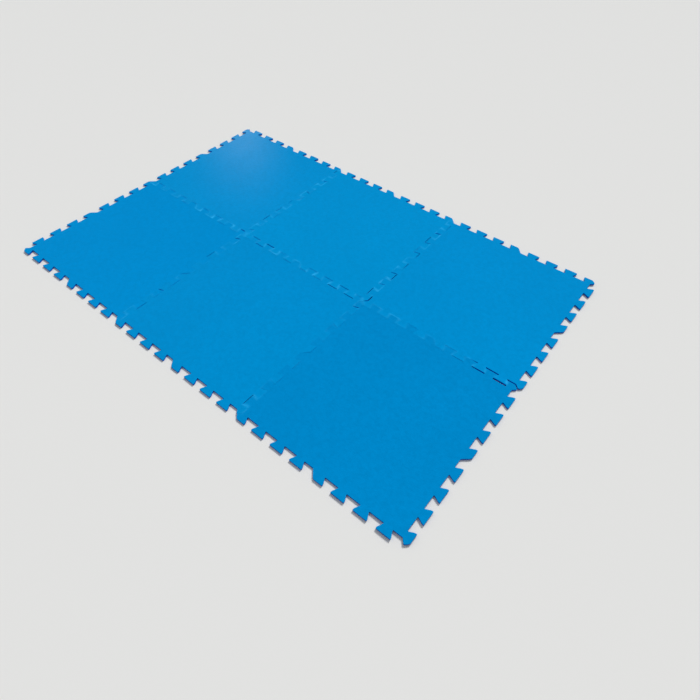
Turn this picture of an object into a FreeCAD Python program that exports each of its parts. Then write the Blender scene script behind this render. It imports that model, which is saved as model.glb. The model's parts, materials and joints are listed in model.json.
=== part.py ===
import FreeCAD, Part
import math
import os

import Sketcher

# Six square closed-cell foam floor mats, laid three by two and locked together
# by dovetail teeth cut into all four sides of every mat.
#
# Frame: millimetres, +Z up, origin at the centre of the field's underside.
# +X runs along the long side, +Y from the front row to the back row.
#
# One side of a mat, seen from above and followed counter-clockwise:
#   run      distance along the side from its nominal corner, 0 .. module
#   reach    distance outwards from the nominal side line
# The nominal side line is halfway up the teeth, so a mat's teeth and its
# neighbour's teeth fill the same strip. Every side is the same under a quarter
# turn, and is its own mate under a half turn, so any side of any mat locks
# into any side of any other. A side carries one tooth per pitch:
#   corner tooth  the first; its outer end is cut back along both diagonals of
#                 the little square where four mats meet
#   middle tooth  its first flank is a 45 degree diagonal
#   the others    plain dovetails, wider at the tip than at the neck

os.makedirs("parts", exist_ok=True)

doc = FreeCAD.newDocument("foam_mats")

# ---------------------------------------------------------------- dimensions
DIMENSIONS = [
    # alias, value, note
    ("module", 500.0, "side of a mat between nominal side lines"),
    ("teeth", 8.0, "teeth per side"),
    ("depth", 20.0, "root line to tip line"),
    ("tipwidth", 38.2, "tooth width at the tip line"),
    ("neckwidth", 24.4, "tooth width at the root line"),
    ("thick", 5.0, "foam thickness"),
    ("sidegap", 0.80, "gap between mated flanks, square to the flank"),
    ("endgap", 0.50, "gap between a tooth's tip and the neighbour's root line"),
    ("cornerround", 1.2, "plan radius of the tooth and notch corners"),
    ("edgeround", 0.6, "rounding of the upper cut edge"),
    ("bite", 4.0, "how far a tooth's pad runs back into the slab"),
]

# Where each mat lies: column and row in the field, then how far it is from its
# ideal place. The mats are pushed together by hand, so most sit a little
# pulled or turned inside the play of their teeth. The back right mat is turned
# open at its right-hand end.
MATS = [
    # label, column, row, slip along X, slip along Y, turn about Z in degrees
    ("front_left_mat", -1, 0, -0.20, 0.00, 0.000),
    ("front_middle_mat", 0, 0, 0.00, 0.00, 0.000),
    ("front_right_mat", 1, 0, 0.36, -0.08, 0.008),
    ("back_left_mat", -1, 1, -0.30, 0.12, -0.010),
    ("back_middle_mat", 0, 1, -0.06, 0.24, 0.020),
    ("back_right_mat", 1, 1, 0.26, 0.36, 0.045),
]

TOLERANCE = 1e-6  # for telling edges apart by where they lie


def plain_word(label):
    """The mat's label as one word, for aliases and object names."""
    return label.replace("_mat", "").replace("_", "")


def fill_sheet():
    """Driving dimensions first, then a blank row, then the mats' slips and turns."""
    sheet = doc.addObject("Spreadsheet::Sheet", "dims")
    for row, (alias, value, note) in enumerate(DIMENSIONS, start=1):
        sheet.set("A%d" % row, str(value))
        sheet.setAlias("A%d" % row, alias)
        sheet.set("B%d" % row, note)

    row = len(DIMENSIONS) + 2
    for label, _, _, *offsets in MATS:
        for suffix, value in zip(("slipx", "slipy", "turn"), offsets):
            sheet.set("A%d" % row, str(value))
            sheet.setAlias("A%d" % row, plain_word(label) + suffix)
            row += 1
    doc.recompute()


fill_sheet()


# ---------------------------------------------------------- worked-out sizes
class Size:
    """A size as an expression over the sheet, with the number it has now."""

    def __init__(self, text, number):
        self.text = text
        self.number = number

    @staticmethod
    def of(other):
        return other if isinstance(other, Size) else Size(repr(other), float(other))

    def join(self, sign, other, number):
        return Size("(%s %s %s)" % (self.text, sign, Size.of(other).text), number)

    def __add__(self, other):
        return self.join("+", other, self.number + Size.of(other).number)

    def __sub__(self, other):
        return self.join("-", other, self.number - Size.of(other).number)

    def __mul__(self, other):
        return self.join("*", other, self.number * Size.of(other).number)

    def __truediv__(self, other):
        return self.join("/", other, self.number / Size.of(other).number)

    def __neg__(self):
        return Size("(0 - %s)" % self.text, -self.number)

    def root(self):
        return Size("sqrt(%s)" % self.text, math.sqrt(self.number))


DIMS = {alias: Size("dims." + alias, number) for alias, number, _ in DIMENSIONS}
MODULE = DIMS["module"]
DEPTH = DIMS["depth"]
ENDGAP = DIMS["endgap"]
SIDEGAP = DIMS["sidegap"]
TIPWIDTH = DIMS["tipwidth"]
NECKWIDTH = DIMS["neckwidth"]

TOOTH_COUNT = int(DIMS["teeth"].number)
CORNER_TOOTH = 0
MIDDLE_TOOTH = TOOTH_COUNT // 2
PITCH = MODULE / DIMS["teeth"]  # one tooth and one notch

# Reaches.
TIP = DEPTH / 2 - ENDGAP / 2  # tooth tips
ROOT = -(DEPTH / 2) - ENDGAP / 2  # notch floors
BACK = ROOT - DIMS["bite"]  # where a tooth's pad starts, inside the slab

# Half-widths of a plain tooth, each flank drawn in by half the side gap.
FLARE = (TIPWIDTH - NECKWIDTH) / 2 / DEPTH  # half-width gained per reach
MEAN_HALF = (TIPWIDTH + NECKWIDTH) / 4  # at the nominal side line, before the gap
SLACK = SIDEGAP / 2 * (FLARE * FLARE + 1).root()  # half the gap, along the run
TIP_HALF = MEAN_HALF + FLARE * TIP - SLACK
ROOT_HALF = MEAN_HALF + FLARE * ROOT - SLACK

# Half the side gap of a 45 degree flank, along the run.
DIAGONAL = SIDEGAP / 2 * math.sqrt(2)


def tooth_outline(number):
    """A tooth as (run, reach) pairs, counter-clockwise seen from above."""
    middle = PITCH * (number + 0.25)
    far_flank = [
        (middle + TIP_HALF, TIP),
        (middle + ROOT_HALF, ROOT),
        (middle + ROOT_HALF, BACK),
    ]
    if number == CORNER_TOOTH:
        # From the slab's own corner out along one diagonal of the meeting
        # square, nearly to its centre, then back out along the other. The
        # second diagonal carries the whole gap, so the first one starts
        # exactly at the slab's corner.
        near_flank = [
            (-BACK, BACK),
            (-ROOT, ROOT),
            (DIAGONAL, -DIAGONAL),
            (TIP + DIAGONAL * 2, TIP),
        ]
    elif number == MIDDLE_TOOTH:
        # The diagonal crosses the side line by the middle of the side.
        crossing = MODULE / 2 + DIAGONAL
        near_flank = [
            (crossing + ROOT, BACK),
            (crossing + ROOT, ROOT),
            (crossing + TIP, TIP),
        ]
    else:
        near_flank = [
            (middle - ROOT_HALF, BACK),
            (middle - ROOT_HALF, ROOT),
            (middle - TIP_HALF, TIP),
        ]
    return near_flank + far_flank


def slab_outline():
    """The square inside the four root lines, as (x, y) about the mat's centre."""
    inner = MODULE / 2 + ROOT
    return [(-inner, -inner), (inner, -inner), (inner, inner), (-inner, inner)]


def front_tooth_outline(number):
    """A tooth of the front side, as (x, y): run goes along +X, reach along -Y."""
    return [
        (run - MODULE / 2, -(MODULE / 2) - reach)
        for run, reach in tooth_outline(number)
    ]


# ------------------------------------------------------------------- drawing
def origin_feature(body, role):
    """A plane or axis of the body's own origin."""
    return next(f for f in body.Origin.OriginFeatures if f.Role == role)


def draw_polygon(sketch, points, tag):
    """A closed polygon whose every corner is bound to the sheet.

    points: (x, y) pairs of Size in the sketch's own plane.
    tag: start of the names of its constraints.
    """
    places = [FreeCAD.Vector(x.number, y.number, 0) for x, y in points]
    count = len(points)
    first_line = sketch.GeometryCount
    sketch.addGeometry(
        [Part.LineSegment(places[i], places[(i + 1) % count]) for i in range(count)],
        False,
    )
    first_rule = sketch.ConstraintCount
    rules = [
        Sketcher.Constraint(
            "Coincident", first_line + i, 2, first_line + (i + 1) % count, 1
        )
        for i in range(count)
    ]
    bindings = []
    for i, (x, y) in enumerate(points):
        for axis, kind, size in (("x", "DistanceX", x), ("y", "DistanceY", y)):
            bindings.append(("%s%d%s" % (tag, i, axis), len(rules), size.text))
            rules.append(
                Sketcher.Constraint(kind, -1, 1, first_line + i, 1, size.number)
            )
    sketch.addConstraint(rules)
    for name, index, text in bindings:
        sketch.renameConstraint(first_rule + index, name)
        sketch.setExpression("Constraints." + name, text)


def pad_outlines(body, sketch_name, pad_name, outlines):
    """Pad polygons, given as {tag: points}, up from the underside by the thickness."""
    sketch = body.newObject("Sketcher::SketchObject", sketch_name)
    sketch.AttachmentSupport = [(origin_feature(body, "XY_Plane"), "")]
    sketch.MapMode = "FlatFace"
    for tag, points in outlines.items():
        draw_polygon(sketch, points, tag)
    pad = body.newObject("PartDesign::Pad", pad_name)
    pad.Profile = sketch
    pad.setExpression("Length", "dims.thick")
    sketch.Visibility = False
    return pad


def is_upright(edge):
    """Whether the edge runs straight up through the whole thickness."""
    start, end = edge.Vertexes[0], edge.Vertexes[-1]
    rise = abs(start.Z - end.Z)
    drift = math.hypot(start.X - end.X, start.Y - end.Y)
    return abs(rise - DIMS["thick"].number) < TOLERANCE and drift < TOLERANCE


def is_on_top(edge):
    """Whether the edge borders the upper face."""
    return all(abs(v.Z - DIMS["thick"].number) < TOLERANCE for v in edge.Vertexes)


def round_edges(body, name, base, chosen, radius):
    """Fillet the edges of base that the test picks out."""
    edges = [
        "Edge%d" % number
        for number, edge in enumerate(base.Shape.Edges, start=1)
        if chosen(edge)
    ]
    fillet = body.newObject("PartDesign::Fillet", name)
    fillet.Base = (base, edges)
    fillet.setExpression("Radius", radius)
    body.Tip = fillet
    return fillet


# ---------------------------------------------------------------------- mats
def place_mat(body, word, column, row):
    """Bind the mat's place in the field to the sheet."""
    # The turn needs its axis, Z, before its angle is bound.
    body.Placement = FreeCAD.Placement(
        FreeCAD.Vector(0, 0, 0), FreeCAD.Rotation(FreeCAD.Vector(0, 0, 1), 0)
    )
    # Columns lie about the origin; the two rows lie either side of it.
    for axis, modules in (("x", column), ("y", row - 0.5)):
        body.setExpression(
            "Placement.Base." + axis,
            "dims.module * %s + dims.%sslip%s" % (modules, word, axis),
        )
    body.setExpression("Placement.Rotation.Angle", "dims.%sturn" % word)


def make_mat(label, column, row):
    word = plain_word(label)
    body = doc.addObject("PartDesign::Body", label)
    body.Label = label

    pad_outlines(body, "slab_" + word, "slabpad_" + word, {"corner": slab_outline()})
    front_teeth = pad_outlines(
        body,
        "teeth_" + word,
        "teethpad_" + word,
        {"tooth%dcorner" % k: front_tooth_outline(k) for k in range(TOOTH_COUNT)},
    )
    doc.recompute()

    # The other three sides are the same teeth turned about the mat's centre.
    ring = body.newObject("PartDesign::PolarPattern", "ring_" + word)
    ring.Originals = [front_teeth]
    ring.Axis = (origin_feature(body, "Z_Axis"), [""])
    ring.Angle = 360
    ring.Occurrences = 4
    body.Tip = ring
    doc.recompute()

    # Every tooth and notch corner in plan, then the upper cut edge all round.
    corners = round_edges(
        body, "corners_" + word, ring, is_upright, "dims.cornerround"
    )
    doc.recompute()
    round_edges(body, "rim_" + word, corners, is_on_top, "dims.edgeround")

    place_mat(body, word, column, row)
    doc.recompute()
    return body


bodies = [make_mat(label, column, row) for label, column, row, *_ in MATS]
doc.recompute()

# ---------------------------------------------------------- checks and export
faults = [
    "%s: %s" % (obj.Name, obj.State)
    for obj in doc.Objects
    if "Invalid" in obj.State or "Error" in obj.State
]
for body in bodies:
    shape = body.Shape
    if shape.isNull() or not shape.isValid() or len(shape.Solids) != 1:
        faults.append("%s has no single valid solid" % body.Label)
if faults:
    raise RuntimeError("; ".join(faults))

for body in bodies:
    body.Shape.exportStep(os.path.join("parts", body.Label + ".step"))
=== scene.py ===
import json
import math

import bpy
import numpy as np
from mathutils import Matrix, Vector
from mathutils.geometry import delaunay_2d_cdt


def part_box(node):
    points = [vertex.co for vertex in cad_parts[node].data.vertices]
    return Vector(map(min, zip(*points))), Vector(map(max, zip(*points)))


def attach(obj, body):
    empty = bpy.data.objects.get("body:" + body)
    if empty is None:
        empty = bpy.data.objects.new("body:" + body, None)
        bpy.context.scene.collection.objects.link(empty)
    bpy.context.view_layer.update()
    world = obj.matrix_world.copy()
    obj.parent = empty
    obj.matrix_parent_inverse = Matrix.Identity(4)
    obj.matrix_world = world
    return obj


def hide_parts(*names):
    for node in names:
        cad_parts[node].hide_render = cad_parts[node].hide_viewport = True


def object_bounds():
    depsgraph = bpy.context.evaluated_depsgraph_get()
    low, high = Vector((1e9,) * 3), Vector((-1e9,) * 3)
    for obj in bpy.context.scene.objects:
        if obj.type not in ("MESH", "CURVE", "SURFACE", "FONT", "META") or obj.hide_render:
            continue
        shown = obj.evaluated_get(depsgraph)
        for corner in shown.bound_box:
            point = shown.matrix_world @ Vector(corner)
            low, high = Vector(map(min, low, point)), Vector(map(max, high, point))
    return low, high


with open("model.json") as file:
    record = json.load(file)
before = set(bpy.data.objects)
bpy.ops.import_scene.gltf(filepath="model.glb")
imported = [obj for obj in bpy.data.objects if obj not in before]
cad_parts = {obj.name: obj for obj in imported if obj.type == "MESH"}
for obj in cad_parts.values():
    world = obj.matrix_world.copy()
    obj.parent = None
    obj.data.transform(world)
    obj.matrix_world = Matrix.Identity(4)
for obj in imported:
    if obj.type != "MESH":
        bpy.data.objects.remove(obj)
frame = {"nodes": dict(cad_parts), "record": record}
cad_low, cad_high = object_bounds()
rng = np.random.default_rng(20240611)

# Plan work is in mm. "Pitches" are tooth pitches from the field's front left corner.
MM = 0.001
MATS = list(frame["nodes"])
BODY = {
    node: body
    for body, nodes in frame["record"]["behaviour"]["bodies"].items()
    for node in nodes
}
THICK = float(cad_high[2] - cad_low[2])  # metres
TEETH = 8  # along each side of a mat
TOOTH_DEPTH = 20.0  # mm from root line to tip
FAR = 1e9

# The grid the mats were cut to, read from the width of one mat over its tips.
middle_low, middle_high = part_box("front_middle_mat")
TIPS = float(middle_high[0] - middle_low[0]) / MM
MODULE = float(round((TIPS - 19.5) / 10) * 10)
HALF = MODULE / 2
PITCH = MODULE / TEETH
ORIGIN = np.array([-1.5 * MODULE, -1.0 * MODULE])
COLUMN, ROW = {}, {}
for mat in MATS:
    box_low, box_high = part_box(mat)
    COLUMN[mat] = int(round(((box_low[0] + box_high[0]) / 2 / MM + MODULE) / MODULE))
    ROW[mat] = int(round(((box_low[1] + box_high[1]) / 2 / MM + HALF) / MODULE))


# ------------------------------------------------------------ shared geometry
def grid(points):
    """Points in mm as pitches from the field's front left corner."""
    return (np.asarray(points, float) - ORIGIN) / PITCH


def smooth(share):
    share = np.clip(share, 0.0, 1.0)
    return share * share * (3 - 2 * share)


def bell(distance, width, power=2):
    return np.exp(-((distance / width) ** power))


def bell_round(places, x, y, radius, power=1):
    """A round bell about one place; a higher power gives it a flatter top."""
    squared = ((places[:, 0] - x) ** 2 + (places[:, 1] - y) ** 2) / radius**2
    return np.exp(-(squared**power))


def soften(values):
    """Average each entry of a closed loop with the ones either side."""
    return 0.5 * values + 0.25 * (np.roll(values, 1, 0) + np.roll(values, -1, 0))


def cross(first, second):
    return first[:, 0] * second[:, 1] - first[:, 1] * second[:, 0]


def area(loop):
    return 0.5 * float(np.sum(cross(loop, np.roll(loop, -1, 0))))


def normals(loop):
    """Outward normals of a counter-clockwise outline, and its mitre factors."""
    before = loop - np.roll(loop, 1, 0)
    after = np.roll(loop, -1, 0) - loop
    before /= np.linalg.norm(before, axis=1)[:, None]
    after /= np.linalg.norm(after, axis=1)[:, None]
    unit = np.stack([before[:, 1] + after[:, 1], -(before[:, 0] + after[:, 0])], 1)
    length = np.linalg.norm(unit, axis=1)
    unit /= length[:, None]
    return unit, 1.0 / np.clip(length / 2, 0.6, 1.0)


def signed_distance(points, loop, reach):
    """Distance from each point to a closed loop, negative inside it.

    Only distances under reach are signed; farther ones stay positive.
    """
    chunk = 400  # points at a time, to save memory
    starts, ends = loop, np.roll(loop, -1, 0)
    low, high = points.min(0) - reach, points.max(0) + reach
    outside = (np.maximum(starts, ends) < low) | (np.minimum(starts, ends) > high)
    near = ~outside.any(1)
    best = np.full(len(points), FAR)
    if not near.any():
        return best
    origins, along = starts[near], (ends - starts)[near]
    for i in range(0, len(points), chunk):
        offset = points[i : i + chunk][:, None, :] - origins[None]
        share = np.clip((offset * along[None]).sum(2) / (along * along).sum(1)[None], 0, 1)
        away = offset - along[None] * share[..., None]
        best[i : i + chunk] = np.sqrt((away * away).sum(2).min(1))
    close = best < reach
    inside = np.zeros(len(points), bool)
    if close.any():
        tested = points[close]
        odd = np.zeros(len(tested), bool)
        for (ax, ay), (bx, by) in zip(starts, ends):
            crosses = (ay > tested[:, 1]) != (by > tested[:, 1])
            if crosses.any():
                x = ax + (tested[:, 1] - ay) * (bx - ax) / (by - ay + 1e-30)
                odd ^= crosses & (tested[:, 0] < x)
        inside[close] = odd
    best[inside] *= -1
    return best


# --------------------------------------------------------------- CAD outlines
WELD = 2e-6  # metres within which CAD vertices count as one
BOTTOM_BAND = 2e-5  # metres above the lowest vertex that still count as the underside
MIN_RUN = 0.06  # mm; shorter runs are merged
MAX_RUN = 2.2  # mm; longer runs are cut up


def cad_outline(node):
    """The plan outline of a CAD node in mm, counter-clockwise, from its underside."""
    mesh = frame["nodes"][node].data
    mesh.calc_loop_triangles()
    points = np.empty(len(mesh.vertices) * 3, np.float32)
    mesh.vertices.foreach_get("co", points)
    points = points.reshape(-1, 3).astype(float)
    triangles = np.empty(len(mesh.loop_triangles) * 3, np.int32)
    mesh.loop_triangles.foreach_get("vertices", triangles)
    cells = np.round(points / WELD).astype(np.int64)
    keys, welded = np.unique(cells, axis=0, return_inverse=True)
    welded = welded.ravel()
    source = np.zeros(len(keys), int)
    source[welded] = np.arange(len(points))
    corners = points[source]
    triangles = welded[triangles.reshape(-1, 3)]
    low = corners[:, 2] < points[:, 2].min() + BOTTOM_BAND
    # a dict, not a set: its order fixes where each loop starts
    edges = dict.fromkeys(
        edge for a, b, c in triangles[low[triangles].all(1)] for edge in ((a, b), (b, c), (c, a))
    )
    left = {start: end for start, end in edges if (end, start) not in edges}
    loops = []
    while left:
        start = next(iter(left))
        loop, end = [start], left.pop(start)
        while end != start and end in left:
            loop.append(end)
            end = left.pop(end)
        loops.append(loop)
    outline = corners[max(loops, key=len)][:, :2] / MM
    return outline[::-1] if area(outline) < 0 else outline


def resample(loop):
    """Merge very short runs and cut straight ones into short steps."""
    kept = [loop[0]]
    for point in loop[1:]:
        if np.linalg.norm(point - kept[-1]) > MIN_RUN:
            kept.append(point)
    kept = np.array(kept)
    cut = []
    for start, end in zip(kept, np.roll(kept, -1, 0)):
        steps = max(1, int(math.ceil(np.linalg.norm(end - start) / MAX_RUN)))
        for i in range(steps):
            cut.append(start + (end - start) * i / steps)
    return np.array(cut)


# ------------------------------------------------------- seams and free edges
# Short stretches where the cut edges stay apart: x and y in pitches, reach in
# pitches, opening in mm, and which faces: "x" faces look along X, "y" faces
# look along Y, "d" are flanks.
GAPS = [
    # the long seam between the rows: y 8.16 at the front row's tips, 7.84 at the back row's
    (0.75, 8.16, 0.38, 1.0, "y"), (1.75, 8.16, 0.30, 0.5, "y"), (2.75, 8.16, 0.30, 1.0, "y"),
    (4.66, 8.16, 0.26, 1.3, "y"), (5.75, 8.16, 0.32, 0.9, "y"), (3.25, 7.84, 0.30, 0.8, "y"),
    (3.75, 8.16, 0.28, 0.4, "y"), (6.25, 7.84, 0.30, 0.6, "y"), (7.76, 8.16, 0.24, 3.0, "y"),
    (8.75, 8.16, 0.34, 1.6, "y"), (9.75, 8.16, 0.38, 2.6, "y"), (10.75, 8.16, 0.30, 0.7, "y"),
    (12.75, 8.16, 0.30, 0.8, "y"), (13.75, 8.16, 0.34, 1.3, "y"), (14.75, 8.16, 0.34, 1.6, "y"),
    (15.75, 8.16, 0.30, 0.6, "y"), (9.25, 7.84, 0.34, 2.1, "y"), (11.25, 7.84, 0.30, 0.6, "y"),
    (12.25, 7.84, 0.30, 0.6, "y"), (13.25, 7.84, 0.30, 0.9, "y"), (14.25, 7.84, 0.36, 1.4, "y"),
    (15.25, 7.84, 0.36, 1.4, "y"), (18.75, 8.16, 0.30, 0.3, "y"), (20.25, 7.84, 0.30, 0.4, "y"),
    (21.25, 7.84, 0.30, 0.7, "y"),
    # the left cross seam
    (8.16, 1.25, 0.32, 1.2, "x"), (8.0, 2.53, 0.16, 2.4, "d"), (8.0, 4.0, 0.22, 1.0, "d"),
    (7.84, 5.75, 0.32, 1.6, "x"), (8.0, 7.47, 0.16, 2.7, "d"), (8.0, 8.53, 0.16, 1.3, "d"),
    (7.84, 9.75, 0.32, 2.3, "x"), (7.84, 10.75, 0.28, 0.8, "x"), (8.16, 10.25, 0.28, 0.6, "x"),
    (7.84, 11.75, 0.28, 1.2, "x"), (8.0, 12.97, 0.16, 1.8, "d"), (8.0, 14.53, 0.16, 2.2, "d"),
    (7.84, 15.75, 0.28, 1.7, "x"),
    # the right cross seam
    (15.84, 0.75, 0.34, 1.2, "x"), (16.16, 3.25, 0.30, 0.5, "x"), (16.0, 7.53, 0.16, 2.4, "d"),
    (16.11, 8.11, 0.10, 2.8, "d"), (16.16, 8.30, 0.28, 3.0, "x"), (15.84, 8.78, 0.30, 1.9, "x"),
    (16.0, 9.54, 0.16, 1.8, "d"), (16.16, 10.28, 0.30, 1.9, "x"), (16.0, 10.53, 0.16, 2.4, "d"),
    (16.16, 11.42, 0.30, 1.4, "x"), (16.16, 12.40, 0.30, 1.5, "x"), (16.0, 12.53, 0.16, 1.8, "d"),
    (16.0, 13.53, 0.16, 1.8, "d"), (15.84, 13.78, 0.34, 2.0, "x"), (16.0, 14.53, 0.18, 3.6, "d"),
    (15.84, 12.75, 0.28, 0.7, "x"), (16.16, 15.30, 0.28, 0.9, "x"),
]
FACE_BAND = 0.09  # pitches either side of an "x" or "y" face's line
CROSSINGS = ((8.0, 8.0), (16.0, 8.0))  # pitches, where four mats meet
CLOSED = 0.045  # mm left between edges that press together
EASE = 0.95  # mm the foam of one edge can ease out to meet its neighbour
CROSSING_EASE = 1.1  # mm more where four corner teeth crowd into one cell
APART_EASE = 0.10  # mm, where the long seam stands open at its right-hand end
PUSH_BACK = 1.2  # mm an edge can give way where outlines overlap
FREE_GAP = 5.0  # mm from the next mat beyond which an edge is a free one
SEARCH = 6.0  # mm round an outline within which neighbours are looked for
WANDER = 0.12  # mm; a die never cuts perfectly true
# How far the flanks of a free tooth swell, in mm, from root (0) to tip (1).
SWELL_DEPTHS = [0.0, 0.2, 0.5, 0.68, 0.80, 0.92, 1.0]
SWELLS = [0.0, 0.05, 0.85, 1.65, 1.65, 1.0, 0.45]


def stretch(mat, points):
    """In-plane stretch of a mat's foam in mm: one mat was pulled about."""
    places = grid(points)
    shift = np.zeros_like(points)
    if mat == "back_right_mat":
        # the front edge stands open towards its right-hand end
        along = smooth((places[:, 0] - 21.0) / 1.4)
        deep = 1 - smooth((places[:, 1] - 7.6) / 5.0)
        shift[:, 1] += 2.1 * along * deep
        # and its last tooth, which has popped up, is drawn back further
        tooth = bell(places[:, 0] - 23.25, 0.38)
        shift[:, 1] += 0.8 * tooth * (1 - smooth((places[:, 1] - 7.8) / 0.45))
    return shift


def side_frames(mat, points):
    """For the front, right, back and left side: reach outwards, run along, normal's axis.

    Reach and run are in pitches, the run counter-clockwise.
    """
    local = grid(points) - np.array([COLUMN[mat] * TEETH, ROW[mat] * TEETH])
    x, y = local[:, 0], local[:, 1]
    return [(-y, x, 0), (x - TEETH, y, 1), (y - TEETH, TEETH - x, 0), (-x, TEETH - y, 1)]


def free_swell(mat, points, unit):
    """How far teeth with nothing beside them swell towards their tips, in mm."""
    closest = np.full(len(points), 0.24)  # pitches; only points this near a side swell
    result = np.zeros(len(points))
    for reach, _, axis in side_frames(mat, points):
        closer = np.abs(reach) < closest
        closest = np.where(closer, np.abs(reach), closest)
        depth = reach * PITCH / TOOTH_DEPTH + 0.5
        flank = smooth((np.abs(unit[:, axis]) - 0.35) / 0.4)
        result = np.where(closer, np.interp(depth, SWELL_DEPTHS, SWELLS) * flank, result)
    return result


def ease_limit(places):
    """The most each point of an edge can ease outwards, in mm."""
    limit = np.full(len(places), EASE)
    for x, y in CROSSINGS:
        limit += CROSSING_EASE * bell_round(places, x, y, 0.30, power=2)
    apart = smooth((places[:, 0] - 21.65) / 0.6) * (np.abs(places[:, 1] - 8) < 0.6)
    return limit * (1 - apart) + APART_EASE * apart


def ease_outline(mat, placed):
    """A mat's outline eased towards its neighbours, and how shut the seam is (0 to 1)."""
    rim = placed[mat]
    count = len(rim)
    places = grid(rim)
    unit, _ = normals(rim)
    gap = np.full(count, FAR)
    for other in MATS:
        if other != mat:
            gap = np.minimum(gap, signed_distance(rim, placed[other], SEARCH))
    free = gap > FREE_GAP
    limit = ease_limit(places)
    move = np.clip((gap - CLOSED) / 2, -PUSH_BACK, limit)
    move[free] = 0.0
    shut = bell(np.maximum(gap - 2 * limit, 0.0), 0.5) * ~free
    across_x, across_y = np.abs(unit[:, 0]), np.abs(unit[:, 1])
    for x, y, reach, opening, faces in GAPS:
        if faces == "x":
            hit = (across_x > 0.97) & (np.abs(places[:, 0] - x) < FACE_BAND)
        elif faces == "y":
            hit = (across_y > 0.97) & (np.abs(places[:, 1] - y) < FACE_BAND)
        else:
            hit = np.minimum(across_x, across_y) > 0.2
        weight = bell_round(places, x, y, reach, power=2) * hit * ~free
        move -= opening / 2 * weight
        shut *= 1 - weight
    # no step from one point to the next: the foam bends, it does not break
    for _ in range(3):
        move = soften(move)
        shut = soften(shut)
    window = np.hanning(15) / np.hanning(15).sum()
    wander = np.convolve(np.tile(rng.normal(0, 1, count), 3), window, "same")[count : 2 * count]
    swell = free_swell(mat, rim, unit) * free
    for _ in range(2):
        swell = soften(swell)
    move = move + swell + WANDER * free * wander
    return rim + unit * move[:, None], np.clip(shut, 0, 1)


def press_corners(outlines):
    """Where four corners meet, each one presses its point into the middle."""
    for crossing in CROSSINGS:
        nominal = np.array(crossing) * PITCH + ORIGIN
        reach = {mat: np.linalg.norm(outlines[mat] - nominal, axis=1) for mat in MATS}
        meeting = [mat for mat in MATS if reach[mat].min() < 4.0]
        middle = np.mean([outlines[mat][reach[mat].argmin()] for mat in meeting], axis=0)
        for mat in meeting:
            away = outlines[mat] - middle
            distance = np.linalg.norm(away, axis=1)
            fade = 1 - smooth((distance - distance.min()) / 1.1)
            pull = 1 - 0.97 * fade * (distance < 2.5)
            outlines[mat] = middle + away * pull[:, None]


base = {mat: resample(cad_outline(mat)) for mat in MATS}
placed = {mat: base[mat] + stretch(mat, base[mat]) for mat in MATS}
outlines, shuts = {}, {}
for mat in MATS:
    outlines[mat], shuts[mat] = ease_outline(mat, placed)
press_corners(outlines)


# -------------------------------------------------------------- rise and fall
# Low waves in the underside: height, then radians per metre in X and in Y, phase.
WAVES = [
    (0.50, 3.1, 1.3, 0.4),
    (0.42, -1.9, 4.3, 2.1),
    (0.34, 6.3, -3.7, 1.2),
    (0.22, 9.1, 7.9, 4.0),
]
WAVE_BASE = 0.62  # mm, mean height above the floor
WAVE_SCALE = 0.40  # mm per unit of wave height
# Lift of the field's corners from being rolled up: x and y in pitches, mm.
CORNER_LIFTS = [(0, 0, 0.9), (24, 0, 1.2), (24, 16, 1.5), (0, 16, 1.8)]
LOWEST = 0.02  # mm, least height of the underside

# Lift of every tooth tip in mm, by mat, side (see side_frames) and tooth.
CURL = {
    (mat, side, k): float(np.clip(rng.normal(0.12, 0.28), -0.45, 0.8))
    for mat in MATS
    for side in range(4)
    for k in range(TEETH)
}
CURL["back_right_mat", 0, 7] = 1.8
CURL["back_right_mat", 0, 6] = 0.5
CURL["front_right_mat", 2, 0] = -0.2


def wave_height(points):
    x, y = points[:, 0] / 1000, points[:, 1] / 1000
    waves = sum(
        height * np.sin(rate_x * x + rate_y * y + phase)
        for height, rate_x, rate_y, phase in WAVES
    )
    return WAVE_BASE + waves * WAVE_SCALE


def tooth_lift(mat, points):
    """Curl of the tooth a point belongs to, nothing inside the slab."""
    lift = np.zeros(len(points))
    for side, (reach, run, _) in enumerate(side_frames(mat, points)):
        outwards = smooth((reach + 0.22) / 0.42)
        for k in range(TEETH):
            lift += CURL[mat, side, k] * outwards * bell(run - (k + 0.25), 0.42, power=4)
    return lift


def corner_lift(mat, points):
    """Lift of the field's corners, and of the open end of the long seam."""
    places = grid(points)
    lift = np.zeros(len(points))
    for x, y, height in CORNER_LIFTS:
        lift += height * bell_round(places, x, y, 1.6)
    if mat == "back_right_mat":
        lift += 0.3 * smooth((places[:, 0] - 21.2) / 1.4) * bell(places[:, 1] - 8, 1.1)
    return lift


def underside(mat, points):
    lifted = wave_height(points) + corner_lift(mat, points) + tooth_lift(mat, points)
    return np.maximum(lifted, LOWEST)


# Where two mats are pressed together their rims stand a little proud of the
# skin: x and y in pitches and share of PROUD; between these it blends.
# their share also sets how strong the painted rim highlight is
PRESSED = [
    (0.6, 8, 1.0), (2.0, 8, 0.8), (4.0, 8, 0.9), (6.0, 8, 1.0), (7.5, 8, 0.7),
    (9.0, 8, 0.9), (11.0, 8, 1.2), (13.0, 8, 0.9), (15.0, 8, 1.0), (17.0, 8, 0.6),
    (19.0, 8, 0.45), (21.0, 8, 0.6), (22.6, 8, 1.1),
    (8, 0.8, 0.6), (8, 2.6, 0.3), (8, 4.5, 0.3), (8, 6.2, 0.6), (8, 9.3, 0.9),
    (8, 11.0, 0.8), (8, 12.8, 0.8), (8, 15.0, 1.2),
    (16, 0.8, 0.8), (16, 2.5, 0.12), (16, 4.0, 0.12), (16, 6.0, 0.35), (16, 7.2, 0.45),
    (16, 9.0, 1.1), (16, 10.4, 0.9), (16, 12.0, 0.6), (16, 13.7, 0.9), (16, 15.2, 1.0),
]
PROUD = 0.42  # mm


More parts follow.
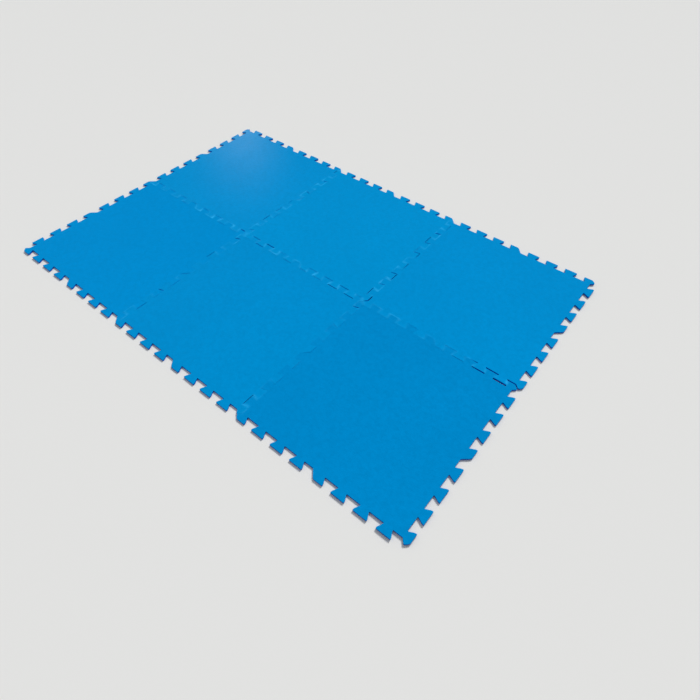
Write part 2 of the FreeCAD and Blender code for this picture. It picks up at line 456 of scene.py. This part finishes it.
def pressed_share(points):
    places = grid(points)
    weight, total = np.full(len(points), 1e-6), np.zeros(len(points))
    for x, y, share in PRESSED:
        near = bell_round(places, x, y, 1.1)
        weight += near
        total += near * share
    # no two teeth are squeezed alike
    uneven = (
        np.sin(places[:, 0] * 5.3 + 1.1) * np.sin(places[:, 1] * 4.7 + 0.4)
        + 0.7 * np.sin(places[:, 0] * 11.9 + places[:, 1] * 9.1 + 2.0)
    )
    return total / weight * (1.0 + 0.35 * uneven)


# --------------------------------------------------------------------- meshes
# The cut edge from the underside's rim to the upper rim: offset outwards in
# mm, height as a share of the thickness. A die drags the foam in a little at
# mid-height and rounds the upper rim.
PROFILE = [
    (-0.75, 0.000),
    (-0.30, 0.000),
    (-0.10, 0.022),
    (0.00, 0.070),
    (-0.05, 0.28),
    (-0.10, 0.50),
    (-0.05, 0.72),
    (0.00, 0.885),
    (-0.05, 0.930),
    (-0.17, 0.968),
    (-0.34, 0.991),
    (-0.52, 1.000),
    (-0.85, 1.000),
]
MID_HEIGHT = 0.5  # share of the thickness above which the upper rim begins
CUT_TOP = 0.94  # share of the thickness where the cut face gives way to skin
SKIN, CUT = 0, 1  # material slots
RIM_WIDTH = 0.95  # mm in from the rim where the painted rim highlight has faded out
INNER_BAND = (1.6, 30.0)  # mm in from the upper rim where skin points are kept
BELT_INSET = 12.8  # mm in from the module line, just inside the root line
TOOTH_REACHES = (-6.5, -2.0, 2.5, 6.5)  # mm out from the module line
TOOTH_ACROSS = (-7.5, -2.5, 2.5, 7.5)  # mm either side of a tooth's middle


def tidy(rim, ring):
    """Open out the tiny loops that an inward offset makes round a tight corner."""
    along = np.roll(rim, -1, 0) - rim
    size = (along * along).sum(1)
    for _ in range(200):
        step = np.roll(ring, -1, 0) - ring
        folded = (step * along).sum(1) < 0.10 * size
        moved = folded.copy()
        for k in (-1, 1, 2):
            moved |= np.roll(folded, k)
        # and any two close-by segments that cross
        for k in range(2, 14):
            other, other_step = np.roll(ring, -k, 0), np.roll(step, -k, 0)
            sides = cross(step, other - ring) * cross(step, other + other_step - ring)
            other_sides = cross(other_step, ring - other) * cross(other_step, ring + step - other)
            for i in np.nonzero((sides < 0) & (other_sides < 0))[0]:
                moved[np.arange(i, i + k + 2) % len(ring)] = True
        if not moved.any():
            break
        ring = np.where(moved[:, None], soften(ring), ring)
    return ring


def edge_rings(rim, shut):
    """The rings of the cut edge, bottom to top, and their heights as shares."""
    unit, miter = normals(rim)
    soft = 1 - 0.90 * shut  # pressed together, two rims leave next to no groove
    rings, heights = [], []
    for i, (offset, height) in enumerate(PROFILE):
        offset = np.full(len(rim), offset)
        if height > MID_HEIGHT and i < len(PROFILE) - 1:
            offset = offset * soft
            heights.append(1 - (1 - height) * soft)
        else:
            heights.append(np.full(len(rim), height))
        rings.append(tidy(rim, rim + unit * (offset * miter)[:, None]))
    return rings, heights


def centred_run(margin, step):
    """Evenly spaced places across a mat, centred on it."""
    run = np.arange(-HALF + margin, HALF - (margin - 0.1), step)
    return run - run.mean()


def skin_points(mat, inner):
    """Points for the skin within the inner ring, and their distance from it."""
    middle = np.array([(COLUMN[mat] - 1) * MODULE, (ROW[mat] - 0.5) * MODULE])
    coarse_x, coarse_y = np.meshgrid(*[centred_run(margin=14.5, step=13.0)] * 2)
    coarse = np.stack([coarse_x.ravel(), coarse_y.ravel()], 1)
    belt = []
    for run in centred_run(margin=12.5, step=5.0):
        for edge in (-(HALF - BELT_INSET), HALF - BELT_INSET):
            belt += [(run, edge), (edge, run)]
    belt = np.unique(np.round(np.array(belt), 4), axis=0)
    teeth = []
    for cosine, sine in ((1, 0), (0, 1), (-1, 0), (0, -1)):
        for k in range(TEETH):
            for reach in TOOTH_REACHES:
                for across in TOOTH_ACROSS:
                    if k == 0 and across < 0:
                        continue
                    x, y = PITCH * (k + 0.25) - HALF + across, -HALF - reach
                    teeth.append((cosine * x - sine * y, sine * x + cosine * y))
    points = np.vstack([coarse + middle, belt + middle, np.array(teeth) + middle])
    points = points + stretch(mat, points)
    clearance, reach = INNER_BAND
    # points beyond the reach come back unsigned, so they drop out here too
    depth = -signed_distance(points, inner, reach)
    return points[depth > clearance], depth[depth > clearance]


def felt_squeeze(points, depth, inner, squeeze):
    """How much each skin point feels of the squeeze at the nearest piece of rim."""
    felt = np.zeros(len(points))
    for i in np.nonzero(depth < 7.0)[0]:
        closest = np.argmin(((inner - points[i]) ** 2).sum(1))
        felt[i] = squeeze[closest] * bell(depth[i], 2.4)
    return felt


def fill(inner, points, felt):
    """Triangulate the skin. Indices count the inner ring first, then the added points."""
    count = len(inner)
    corners = [Vector(map(float, point)) for point in np.vstack([inner, points])]
    border = [(i, (i + 1) % count) for i in range(count)]
    verts, _, faces, origins, _, _ = delaunay_2d_cdt(
        corners, border, [list(range(count))], 1, 1e-7
    )
    flat = np.array([[vert.x, vert.y] for vert in verts])
    index, added, added_felt = [], [], []
    for i, origin in enumerate(origins):
        source = origin[0] if origin else -1
        if 0 <= source < count:
            index.append(source)
        else:
            index.append(count + len(added))
            added.append(flat[i])
            added_felt.append(felt[source - count] if source >= count else 0.0)
    triangles = []
    for face in faces:
        triangle = [index[i] for i in face]
        triangles.append(triangle[::-1] if area(flat[list(face)]) < 0 else triangle)
    return triangles, np.array(added), np.array(added_felt)


def mat_faces(triangles, count, added):
    """Faces and material slots: both skins, then the bands of the cut edge."""
    total = count * len(PROFILE)
    upper = list(range(total - count, total + added))
    lower = list(range(count)) + list(range(total + added, total + 2 * added))
    faces, slots = [], []
    for triangle in triangles:
        faces.append([upper[i] for i in triangle])
        faces.append([lower[i] for i in reversed(triangle)])
        slots += [SKIN, SKIN]
    for ring in range(len(PROFILE) - 1):
        cut = PROFILE[ring][1] > 0.0 and PROFILE[ring + 1][1] <= CUT_TOP
        here, above = ring * count, (ring + 1) * count
        for i in range(count):
            j = (i + 1) % count
            faces.append([here + i, here + j, above + j, above + i])
            slots.append(CUT if cut else SKIN)
    return faces, slots


def rim_distance(shut, squeeze, added_felt):
    """Distance in from the upper rim in mm, less where squeezed, for the painted rim highlight."""
    values = []
    for offset, height in PROFILE:
        if height > MID_HEIGHT:
            open_rim = min(-offset, RIM_WIDTH) * (1 - shut)
            values.append(open_rim + RIM_WIDTH * shut - 0.85 * np.minimum(squeeze, 1.1))
        else:
            values.append(np.full(len(shut), RIM_WIDTH))
    values.append(RIM_WIDTH - 0.12 * added_felt)
    values.append(np.full(len(added_felt), RIM_WIDTH))
    return np.concatenate(values)


def build_mat(mat, rim, shut):
    rings, heights = edge_rings(rim, shut)
    inner = rings[-1]
    points, depth = skin_points(mat, inner)
    squeeze = shut * pressed_share(rim)
    felt = felt_squeeze(points, depth, inner, squeeze)
    triangles, added, added_felt = fill(inner, points, felt)
    # the rings, then the added points on top, then the same points underneath
    flat = np.vstack(rings + [added, added])
    height = np.concatenate(heights + [np.ones(len(added)), np.zeros(len(added))])
    lip = [squeeze * min(max(share - MID_HEIGHT, 0.0) / 0.4, 1.0) for _, share in PROFILE]
    lip = np.concatenate(lip + [added_felt, np.zeros(len(added))])
    z = underside(mat, flat) + height * THICK / MM + PROUD * lip
    faces, slots = mat_faces(triangles, len(rim), len(added))

    mesh = bpy.data.meshes.new("foam_" + mat)
    mesh.from_pydata([tuple(point) for point in np.column_stack([flat, z]) * MM], [], faces)
    mesh.polygons.foreach_set("material_index", np.array(slots, np.int32))
    mesh.polygons.foreach_set("use_smooth", np.ones(len(faces), bool))
    attribute = mesh.attributes.new("rim", "FLOAT", "POINT")
    rim_values = rim_distance(shut, squeeze, added_felt)
    attribute.data.foreach_set("value", rim_values.astype(np.float32))
    mesh.update()
    mesh.validate()
    piece = bpy.data.objects.new("foam_" + mat.replace("_mat", ""), mesh)
    bpy.context.scene.collection.objects.link(piece)
    return piece


# ------------------------------------------------------------------ materials
class Shader:
    """Short ways to add nodes to a node tree."""

    def __init__(self, tree):
        self.tree = tree
        tree.nodes.clear()

    def node(self, kind, **inputs):
        """A new node; underscores in input names stand for spaces."""
        node = self.tree.nodes.new(kind)
        for name, value in inputs.items():
            self.feed(node.inputs[name.replace("_", " ")], value)
        return node

    def feed(self, socket, value):
        if isinstance(value, bpy.types.NodeSocket):
            self.tree.links.new(value, socket)
        else:
            socket.default_value = value

    def math(self, operation, *values, clamp=False):
        node = self.node("ShaderNodeMath")
        node.operation = operation
        node.use_clamp = clamp
        for i, value in enumerate(values):
            self.feed(node.inputs[i], value)
        return node.outputs[0]

    def times(self, value, factor, clamp=False):
        return self.math("MULTIPLY", value, factor, clamp=clamp)

    def ramp(self, value, gain, offset, clamp=True):
        return self.math("MULTIPLY_ADD", value, gain, offset, clamp=clamp)

    def weighted_sum(self, parts, total=None):
        for value, weight in parts:
            part = self.times(value, weight)
            total = part if total is None else self.math("ADD", total, part)
        return total

    def mix(self, factor, start, end):
        node = self.node("ShaderNodeMix")
        node.data_type = "RGBA"
        for socket, value in ((node.inputs["Factor"], factor), (node.inputs[6], start),
                              (node.inputs[7], end)):
            self.feed(socket, value)
        return node.outputs[2]

    def noise(self, where, scale, detail=2.0, rough=0.5, distortion=0.0):
        return self.node(
            "ShaderNodeTexNoise", Vector=where, Scale=scale, Detail=detail,
            Roughness=rough, Distortion=distortion,
        ).outputs["Fac"]

    def cells(self, where, scale, feature="F1"):
        node = self.node("ShaderNodeTexVoronoi")
        node.feature = feature
        self.feed(node.inputs["Scale"], scale)
        self.feed(node.inputs["Vector"], where)
        return node.outputs["Distance"]

    def bump(self, relief, strength, distance):
        return self.node(
            "ShaderNodeBump", Strength=strength, Distance=distance, Height=relief
        ).outputs[0]


FOAM_BLUE = (0.0, 0.285, 0.690, 1.0)
SCUFF_BLUE = (0.03, 0.40, 0.74, 1.0)
# painted highlight colour, laid along the upper rims
RIM_HIGHLIGHT_BLUE = (0.026, 0.46, 0.91, 1.0)
SHINE_BLUE = (0.0, 0.45, 1.0, 1.0)


def shade(colour, green, blue):
    """A red-free colour with its green and blue scaled."""
    return (0.0, colour[1] * green, colour[2] * blue, 1.0)


def new_shader(name):
    """A new material, its shader and its object coordinates."""
    material = bpy.data.materials.new(name)
    material.use_nodes = True
    shader = Shader(material.node_tree)
    return material, shader, shader.node("ShaderNodeTexCoord").outputs["Object"]


def finish_surface(shader, **inputs):
    surface = shader.node("ShaderNodeBsdfPrincipled", **inputs)
    shader.node("ShaderNodeOutputMaterial", Surface=surface.outputs[0])


def foam_skin(colour, bloom):
    """Matt closed-cell foam skin: soft mottling, a leathery pebble, a painted highlight along the
    rim.
    """
    material, shader, where = new_shader("foam_skin")
    broad = shader.noise(where, scale=2.3, detail=3.0, rough=0.55)
    patch = shader.noise(where, scale=14.0, detail=4.0, rough=0.6)
    mottle = shader.noise(where, scale=95.0, detail=3.0, rough=0.6)
    fine = shader.noise(where, scale=620.0, rough=0.6)
    pebble = shader.cells(where, scale=820.0)
    grain = shader.cells(where, scale=290.0, feature="SMOOTH_F1")

    deep = shade(colour, green=0.93, blue=0.93)
    light = shade(colour, green=1.05, blue=1.04)
    dull = shade(colour, green=0.86, blue=0.86)
    tone = shader.mix(shader.ramp(broad, gain=1.6, offset=-0.30), deep, light)
    tone = shader.mix(shader.times(patch, factor=0.26), tone, light)
    tone = shader.mix(shader.ramp(mottle, gain=1.9, offset=-0.68), tone, dull)
    tone = shader.mix(shader.ramp(fine, gain=0.36, offset=-0.10), tone, dull)
    # pale bloom where shoes, hands and grit have scuffed the skin
    scuff = shader.noise(where, scale=46.0, detail=6.0, rough=0.72, distortion=0.6)
    scuff = shader.ramp(scuff, gain=5.0, offset=-3.15)
    tone = shader.mix(shader.times(scuff, factor=0.05), tone, SCUFF_BLUE)
    # painted highlight along the upper rims, with a little rubbed wear, in patches
    rim = shader.node("ShaderNodeAttribute")
    rim.attribute_name = "rim"
    rim_highlight = shader.ramp(rim.outputs["Fac"], gain=-1.05, offset=1.0)
    rim_highlight = shader.math("POWER", rim_highlight, 1.8)
    highlight_patches = shader.ramp(shader.noise(where, scale=24.0), gain=2.8, offset=-0.95)
    tone = shader.mix(shader.times(rim_highlight, highlight_patches), tone, RIM_HIGHLIGHT_BLUE)

    base_rough = shader.ramp(patch, gain=0.12, offset=0.22, clamp=False)
    relief = shader.weighted_sum(
        [(pebble, 0.35), (grain, 0.55), (fine, 0.30), (mottle, 0.50), (patch, 0.9)]
    )
    finish_surface(
        shader,
        Base_Color=tone,
        Roughness=shader.weighted_sum([(mottle, 0.08), (scuff, 0.12)], base_rough),
        Specular_IOR_Level=bloom,
        Specular_Tint=SHINE_BLUE,
        Sheen_Weight=0.05,
        Sheen_Roughness=0.45,
        Sheen_Tint=SHINE_BLUE,
        Normal=shader.bump(relief, strength=0.55, distance=0.0007),
    )
    return material


def foam_cut(skin_colour):
    """The die-cut face: open cells dragged by the blade, no skin. Its colour, deeper in blue and
    darker in green than the skin, is partly the cut foam's own and partly painted shade.
    """
    material, shader, where = new_shader("foam_cut")
    cell = shader.cells(where, scale=2100.0)
    big_cell = shader.cells(where, scale=900.0)
    drag = shader.node("ShaderNodeMapping", Vector=where, Scale=(1.0, 1.0, 0.12))
    streak = shader.noise(drag.outputs[0], scale=900.0)
    # darker than the skin: partly the cut foam's own colour, partly painted shade for walls that
    # stand in shade
    colour = shade(skin_colour, green=0.55, blue=1.18)
    dark = shade(colour, green=0.50, blue=0.50)
    tone = shader.mix(shader.times(cell, factor=0.9, clamp=True), dark, colour)
    tone = shader.mix(shader.times(streak, factor=0.45), tone, colour)
    relief = shader.weighted_sum([(cell, 0.6), (big_cell, 0.4)])
    finish_surface(
        shader,
        Base_Color=tone,
        Roughness=shader.ramp(cell, gain=0.15, offset=0.78, clamp=False),
        Specular_IOR_Level=0.10,
        Specular_Tint=(0.1, 0.5, 1.0, 1.0),
        Normal=shader.bump(relief, strength=0.6, distance=0.0004),
    )
    return material


# Green share, blue share and bloom (specular level) of each mat. The mats lie turned every way, so
# the moulded grain of one throws back more of the low light than the next. The green and blue
# shares also paint light: the front right mat is darkened as painted shade, the back left mat is
# lightened as a painted sheen, and the back row runs a little lighter than the front.
LOOKS = {
    "front_left_mat": (1.00, 1.00, 0.02),
    "front_middle_mat": (1.01, 0.985, 0.05),
    "front_right_mat": (0.93, 0.935, 0.05),
    "back_left_mat": (1.055, 1.02, 0.105),
    "back_middle_mat": (1.06, 1.01, 0.045),
    "back_right_mat": (1.03, 1.005, 0.05),
}
for mat in MATS:
    piece = build_mat(mat, outlines[mat], shuts[mat])
    green, blue, bloom = LOOKS[mat]
    # each mat's colour, carrying its painted shade or painted sheen
    colour = shade(FOAM_BLUE, green, blue)
    piece.data.materials.append(foam_skin(colour, bloom))
    piece.data.materials.append(foam_cut(colour))
    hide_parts(mat)
    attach(piece, BODY[mat])


# ---------------------------------------------------------------------- stage
scene = bpy.context.scene
FLOOR_HALF = 60.0  # metres


def build_floor():
    mesh = bpy.data.meshes.new("floor")
    corners = [(x * FLOOR_HALF, y * FLOOR_HALF, 0) for x, y in ((-1, -1), (1, -1), (1, 1), (-1, 1))]
    mesh.from_pydata(corners, [], [(0, 1, 2, 3)])
    floor = bpy.data.objects.new("floor", mesh)
    scene.collection.objects.link(floor)
    pale = bpy.data.materials.new("pale_floor")
    pale.use_nodes = True
    surface = pale.node_tree.nodes["Principled BSDF"]
    surface.inputs["Base Color"].default_value = (0.80, 0.80, 0.79, 1)
    surface.inputs["Roughness"].default_value = 0.9
    surface.inputs["Specular IOR Level"].default_value = 0.1
    mesh.materials.append(pale)


def build_world():
    """Even pale light all round, and a backdrop as pale as the floor.

    Reflections see a dim blue surround, so the matt foam keeps its depth of colour.
    """
    world = bpy.data.worlds.new("studio")
    scene.world = world
    world.use_nodes = True
    shader = Shader(world.node_tree)
    path = shader.node("ShaderNodeLightPath")
    tone = shader.mix(path.outputs["Is Glossy Ray"], (0.93, 0.96, 1.0, 1), (0.0, 0.10, 0.22, 1))
    around = shader.node("ShaderNodeBackground", Color=tone, Strength=0.33)
    backdrop = shader.node(
        "ShaderNodeBackground", Color=(0.99, 0.995, 0.985, 1), Strength=0.735
    )
    pick = shader.node("ShaderNodeMixShader")
    sources = (path.outputs["Is Camera Ray"], around.outputs[0], backdrop.outputs[0])
    for i, source in enumerate(sources):
        shader.feed(pick.inputs[i], source)
    shader.node("ShaderNodeOutputWorld", Surface=pick.outputs[0])


def add_light(name, kind, spot, energy, colour, target=(0, 0, 0)):
    data = bpy.data.lights.new(name, kind)
    data.energy = energy
    data.color = colour
    light = bpy.data.objects.new(name, data)
    light.location = spot
    light.rotation_mode = "QUATERNION"
    light.rotation_quaternion = (Vector(target) - Vector(spot)).to_track_quat("-Z", "Y")
    scene.collection.objects.link(light)
    return light


def build_lights():
    key = add_light("key", "SUN", spot=(-1.0, 9.2, 9.4), energy=2.56, colour=(1.0, 0.985, 0.96))
    key.data.angle = math.radians(17)
    key.visible_glossy = False
    fill_light = add_light(
        "fill", "SUN", spot=(-3.6, -1.2, 4.2), energy=0.27, colour=(0.95, 0.98, 1.0)
    )
    fill_light.data.angle = math.radians(70)
    fill_light.visible_glossy = False
    # low behind the back left corner, it gives that corner its pale bloom
    card = add_light(
        "card", "SPOT", spot=(-2.5, 1.9, 1.12), target=(-0.90, 0.52, 0),
        energy=19.0, colour=(0.98, 0.99, 1.0),
    )
    card.data.spot_size = math.radians(13)
    card.data.spot_blend = 1.0
    card.data.shadow_soft_size = 0.12
    card.visible_glossy = True
    card.visible_diffuse = False
    card.visible_camera = False


def build_camera():
    """Over the front right corner, looking down across the field to the back left."""
    data = bpy.data.cameras.new("camera")
    data.sensor_width = 36.0
    data.lens = 25.97
    data.clip_start = 0.05
    data.clip_end = 200
    camera = bpy.data.objects.new("camera", data)
    scene.collection.objects.link(camera)
    right = Vector((0.7760, 0.6307, -0.0007))
    up = Vector((-0.4868, 0.5997, 0.6352))
    behind = Vector((0.4010, -0.4925, 0.7724))
    turn = Matrix((right, up, behind)).transposed().to_4x4()
    spot = Vector((0.8861, -0.8412, 1.0556 + cad_high[2] + 0.001))
    camera.matrix_world = Matrix.Translation(spot) @ turn
    scene.camera = camera


build_floor()
build_world()
build_lights()
scene.view_settings.view_transform = "Standard"
scene.view_settings.look = "None"
scene.view_settings.exposure = 0.0
scene.view_settings.gamma = 1.0
build_camera()
